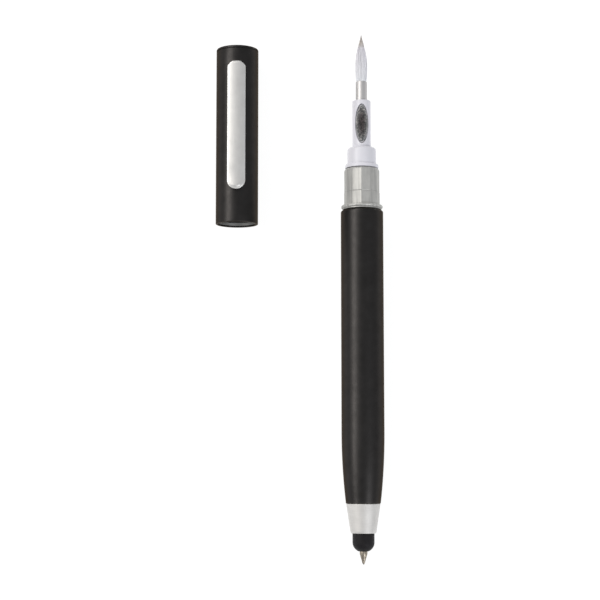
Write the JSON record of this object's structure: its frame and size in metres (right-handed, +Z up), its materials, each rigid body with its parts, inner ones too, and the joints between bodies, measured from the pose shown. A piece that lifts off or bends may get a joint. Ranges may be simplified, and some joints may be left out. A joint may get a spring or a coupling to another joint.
{
  "type": "lens cleaning pen",
  "caption": "Slim twist-action pen with a soft stylus tip, its pull-off clip cap lying beside it, uncovering a small lens brush and oval cleaning pad.",
  "frame": {"origin": "centre of the bounding box in X and Y, on the surface that pen and cap lie on", "axes": "+Y along both axes, from the writing end to the brush end; +Z up, clip on top; cap at -X, pen at +X"},
  "size_m": [0.0434, 0.1378, 0.0123],
  "materials": {
    "black_anodised": "satin black anodised",
    "satin_silver": "fine turned satin",
    "chrome": "polished",
    "black_rubber": "matt, smooth",
    "steel": "drawn",
    "point_metal": "nickel-plated, warm",
    "brass": "machined",
    "black_plastic": "moulded",
    "natural_plastic": "moulded, uncoloured",
    "grey_plastic": "faceted, translucent grey",
    "white_plastic": "moulded, cool white",
    "pad_flock": "short flock, dark and speckled",
    "nylon": "fine translucent filaments"
  },
  "bodies": {
    "barrel": {"barrel_tube": "black_anodised", "nose_cone": "satin_silver", "nose_bush": "brass", "stylus_tip": "black_rubber", "stylus_core": "brass", "mechanism_housing": "black_plastic", "thrust_washer": "natural_plastic", "return_spring": "steel"},
    "refill": {"refill_tube": "steel", "refill_point": "point_metal", "writing_ball": "steel", "refill_plug": "natural_plastic", "cam_follower": "natural_plastic"},
    "head": {"cam_sleeve": "natural_plastic", "friction_ring": "black_rubber", "grip_collar": "grey_plastic", "tool_body": "white_plastic", "pad_backing": "natural_plastic", "sponge_pad": "pad_flock", "brush_ferrule": "chrome", "brush_bristles": "nylon"},
    "cap": {"cap_shell": "black_anodised", "cap_end_plug": "black_anodised", "cap_liner": "black_plastic"},
    "clip": {"pocket_clip": "chrome"}
  },
  "joints": [
    {"name": "head_twist", "type": "hinge", "parent": "barrel", "child": "head", "pos_m": [0.01625, 0.02211, 0.0055], "axis": [0, 1, 0], "range_deg": [0, 180]},
    {"name": "refill_slide", "type": "slide", "parent": "barrel", "child": "refill", "axis": [0, 1, 0], "range_m": [0, 0.0042], "deforming": ["return_spring"]},
    {"name": "cap_pull", "type": "slide", "parent": "barrel", "child": "cap", "axis": [0, 1, 0], "range_m": [0, 0.046]},
    {"name": "clip_flex", "type": "hinge", "parent": "cap", "child": "clip", "pos_m": [-0.01625, 0.05996, 0.0107], "axis": [-1, 0, 0], "range_deg": [0, 4], "stiffness_Nm_per_rad": 0.5}
  ],
  "couplings": [
    {"joint": "head_twist", "follows": "refill_slide", "rad_per_m": 747.99}
  ]
}
